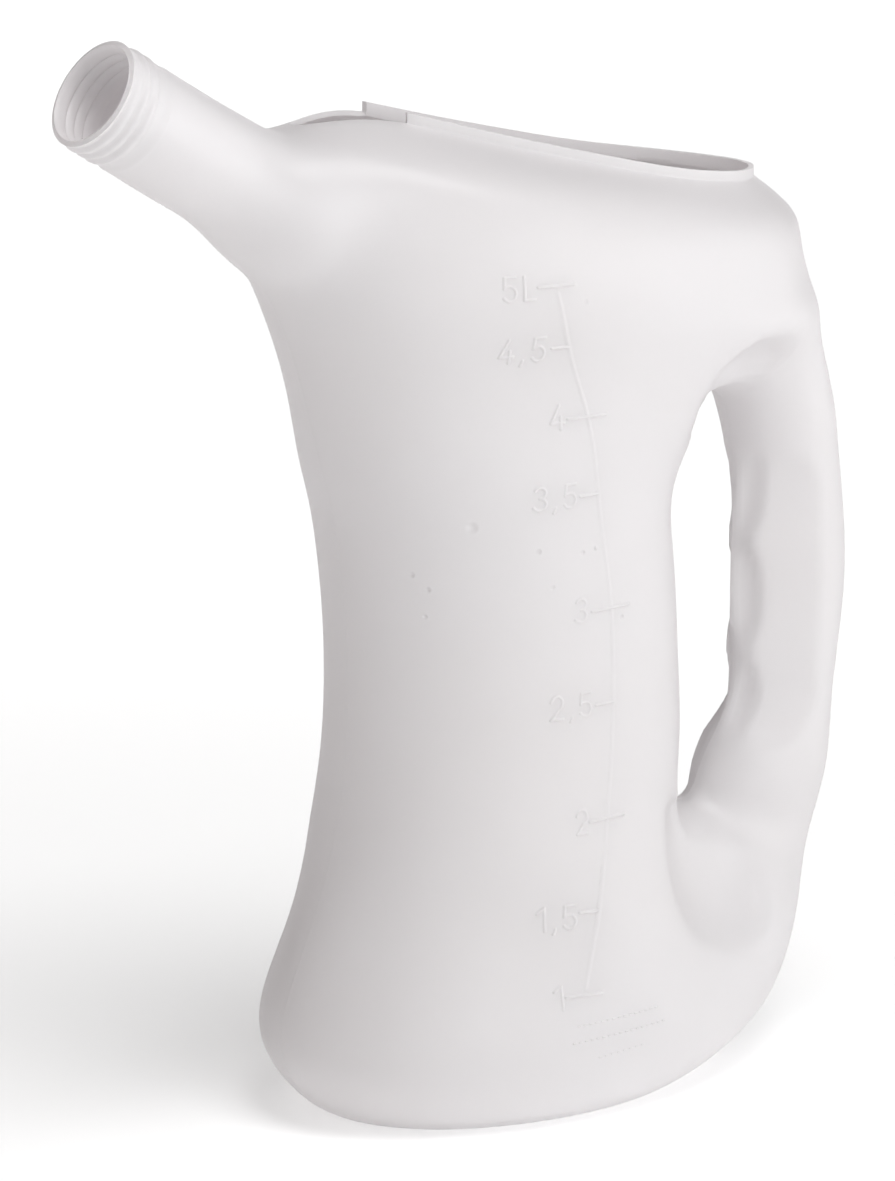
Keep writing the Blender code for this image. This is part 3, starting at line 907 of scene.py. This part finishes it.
def natural_hdpe(name, with_dents):
    """Blown polyethylene: nearly white, satin, letting some light through, with a mould's faint grain."""
    n = Nodes(name)
    cloud = n.noise(9.0, 2.0)
    grain = n.noise(420.0, 2.0)
    flow = n.noise(60.0, 2.0, (1.0, 1.0, 0.12))
    warm = n.blend(n.spread(cloud, 0.3, 0.7), HDPE_DARK, HDPE_LIGHT)
    n.set(Base_Color=warm, Roughness=n.spread(flow, 0.25, 0.75, *HDPE_ROUGHNESS), IOR=1.52)
    height = n.math("MULTIPLY", grain, GRAIN_HEIGHT)
    height = n.math("ADD", height, n.math("MULTIPLY", flow, FLOW_HEIGHT))
    if with_dents:
        side = n.split()["Y"]
        parting = n.spread(n.math("ABSOLUTE", side), 0.0, PARTING_HALF, 1.0, 0.0, smooth=True)
        height = n.math("ADD", height, n.math("MULTIPLY", parting, PARTING_HEIGHT))
        for point, radius, depth in DENTS:
            height = n.math("ADD", height, n.math("MULTIPLY", n.near(point, radius), depth * DENT_HEIGHT))
    normal = n.bump(height, HDPE_BUMP)
    n.set(Normal=normal)
    through = n.tree.nodes.new("ShaderNodeBsdfTranslucent")
    through.inputs["Color"].default_value = HDPE_THROUGH
    n.tree.links.new(normal, through.inputs["Normal"])
    mix = n.tree.nodes.new("ShaderNodeMixShader")
    mix.inputs["Fac"].default_value = THROUGH_SHARE
    n.tree.links.new(n.shader.outputs[0], mix.inputs[1])
    n.tree.links.new(through.outputs[0], mix.inputs[2])
    n.tree.links.new(mix.outputs[0], n.output.inputs["Surface"])
    return n.material


def teat_rubber():
    """Amber rubber with a dull, dusty skin."""
    n = Nodes("teat_rubber")
    cloud = n.noise(60.0, 4.0)
    dust = n.noise(900.0, 2.0)
    n.set(Base_Color=n.blend(n.spread(cloud, 0.3, 0.7), (0.50, 0.30, 0.14), (0.60, 0.39, 0.20)),
          Roughness=n.spread(dust, 0.3, 0.7, 0.50, 0.66), IOR=1.52)
    n.set(Normal=n.bump(n.math("ADD", n.math("MULTIPLY", dust, 0.4), cloud), 0.00012))
    return n.material


def ring_plastic():
    """White, half-gloss moulded plastic."""
    n = Nodes("ring_plastic")
    cloud = n.noise(40.0, 3.0)
    grain = n.noise(1200.0, 2.0)
    n.set(Base_Color=n.blend(n.spread(cloud, 0.3, 0.7), (0.80, 0.80, 0.79), (0.86, 0.86, 0.86)),
          Roughness=n.spread(cloud, 0.3, 0.7, 0.30, 0.42), IOR=1.49)
    n.set(Normal=n.bump(grain, 0.00003))
    return n.material


def valve_plastic():
    """Greyish plastic with the fine rings of its turned mould."""
    n = Nodes("valve_plastic")
    rings = n.tree.nodes.new("ShaderNodeTexWave")
    rings.wave_type = "RINGS"
    rings.rings_direction = "Z"
    rings.inputs["Scale"].default_value = 260.0
    centre = kit_centre()
    mapping = n.tree.nodes.new("ShaderNodeMapping")
    mapping.inputs["Location"].default_value = (-centre.x, 0.0, 0.0)
    n.tree.links.new(n.place, mapping.inputs["Vector"])
    n.tree.links.new(mapping.outputs["Vector"], rings.inputs["Vector"])
    cloud = n.noise(200.0, 3.0)
    n.set(Base_Color=n.blend(n.spread(cloud, 0.3, 0.7), (0.70, 0.72, 0.74), (0.78, 0.79, 0.80)),
          Roughness=n.spread(cloud, 0.3, 0.7, 0.34, 0.46), IOR=1.49)
    n.set(Normal=n.bump(rings.outputs["Fac"], 0.00005))
    return n.material


def floor_paint():
    """White floor that glows, and more so away from the jug."""
    n = Nodes("studio_floor")
    axes = n.split()
    away = n.math("SQRT", n.math("ADD", n.math("POWER", axes["X"], 2.0), n.math("POWER", axes["Y"], 2.0)))
    n.set(Base_Color=(0.90, 0.90, 0.90, 1.0), Roughness=n.spread(n.noise(3.0), 0.3, 0.7, 0.88, 0.92),
          Emission_Color=(1.0, 1.0, 1.0, 1.0),
          Emission_Strength=n.spread(away, *FLOOR_GLOW_RUN, FLOOR_GLOW, FLOOR_GLOW_FAR, smooth=True))
    return n.material


# ---------------------------------------------------------------- stage
FLOOR_REACH = 30.0
FLOOR_GLOW = 0.36                # the floor is a lit table, which brightens the jug's foot
FLOOR_GLOW_FAR = 0.56
FLOOR_GLOW_RUN = (0.25, 0.9)     # distances from the jug between which the glow grows
CAMERA_AZIMUTH = radians(-35)
CAMERA_ELEVATION = radians(14)
CAMERA_DISTANCE = 3.0
PIXELS_PER_METRE = 2695.0
FRAME_HEIGHT = 1181
FRAME_WIDTH = 895
SENSOR_WIDTH = 36.0
CLIP_END = 200.0
BASE_PLACE = (501, 1083)         # where the frame's pixel grid shows the point under the cage's origin


def view_axes():
    """The camera's right, up and backward directions."""
    a, e = CAMERA_AZIMUTH, CAMERA_ELEVATION
    back = Vector((sin(a) * cos(e), -cos(a) * cos(e), sin(e)))
    right = Vector((cos(a), sin(a), 0.0))
    return right, back.cross(right), back


def make_camera():
    right, up, back = view_axes()
    target = Vector((CENTRE_X, 0.0, 0.0))
    target += right * (FRAME_WIDTH / 2 - BASE_PLACE[0]) / PIXELS_PER_METRE
    target += up * (BASE_PLACE[1] - FRAME_HEIGHT / 2) / PIXELS_PER_METRE
    data = bpy.data.cameras.new("camera")
    data.sensor_width = SENSOR_WIDTH
    data.lens = data.sensor_width * PIXELS_PER_METRE * CAMERA_DISTANCE / FRAME_HEIGHT
    data.clip_end = CLIP_END
    camera = link(bpy.data.objects.new("camera", data))
    camera.location = target + back * CAMERA_DISTANCE
    camera.rotation_mode = "QUATERNION"
    camera.rotation_quaternion = back.to_track_quat("Z", "Y")
    bpy.context.scene.camera = camera


def make_floor():
    reach = FLOOR_REACH
    corners = [(-reach, -reach, 0.0), (reach, -reach, 0.0), (reach, reach, 0.0), (-reach, reach, 0.0)]
    floor = mesh_object("studio_floor", corners, [[0, 1, 2, 3]], floor_paint())


# Soft boxes: azimuth and elevation seen from the jug, power in watts.
LIGHTS = ((0, 68, 35.0), (0, 12, 11.6), (36, 12, 13.9), (36, 40, 1.3), (72, 12, 6.5), (144, 12, 6.6),
          (-144, 12, 1.9), (-108, 40, 7.3), (-36, 12, 3.3))
WARM = (1.0, 0.92, 0.90)
LIGHT_DISTANCE = 2.4
LIGHT_SIZE = 1.4
LIGHT_AIM = Vector((0.0, 0.0, 0.2))
WARM_BEHIND = -90                # a box with a lower azimuth is warm
WORLD_GLOW = 0.02


def make_lights():
    for azimuth, elevation, power in LIGHTS:
        a, e = radians(azimuth), radians(elevation)
        way = Vector((sin(a) * cos(e), -cos(a) * cos(e), sin(e)))
        data = bpy.data.lights.new("soft_box", "AREA")
        data.size = LIGHT_SIZE
        data.energy = power
        if azimuth < WARM_BEHIND:
            data.color = WARM
        light = link(bpy.data.objects.new("soft_box", data))
        light.location = LIGHT_AIM + way * LIGHT_DISTANCE
        light.rotation_mode = "QUATERNION"
        light.rotation_quaternion = way.to_track_quat("Z", "Y")
        light.visible_camera = False
    world = bpy.data.worlds.new("studio")
    bpy.context.scene.world = world
    world.use_nodes = True
    world.node_tree.nodes["Background"].inputs["Color"].default_value = (1.0, 1.0, 1.0, 1.0)
    world.node_tree.nodes["Background"].inputs["Strength"].default_value = WORLD_GLOW


def main():
    bpy.context.scene.view_settings.view_transform = "Standard"
    make_camera()
    skin_object = make_skin()
    skin = Skin(skin_object)
    hdpe = natural_hdpe("natural_hdpe", True)
    make_jug(skin_object, hdpe)
    make_scale(skin, natural_hdpe("natural_hdpe_relief", False))
    weld = [[[(WELD_ENDS[0], 0.0), (WELD_ENDS[1], 0.0)]]]
    relief("base_weld", skin, base_hit, weld, WELD_RAISE, WELD_STROKE, WELD_PITCH, hdpe)
    make_teat(teat_rubber())
    make_ring(ring_plastic())
    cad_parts["flow_valve"].material_slots[0].material = valve_plastic()
    make_floor()
    make_lights()


main()
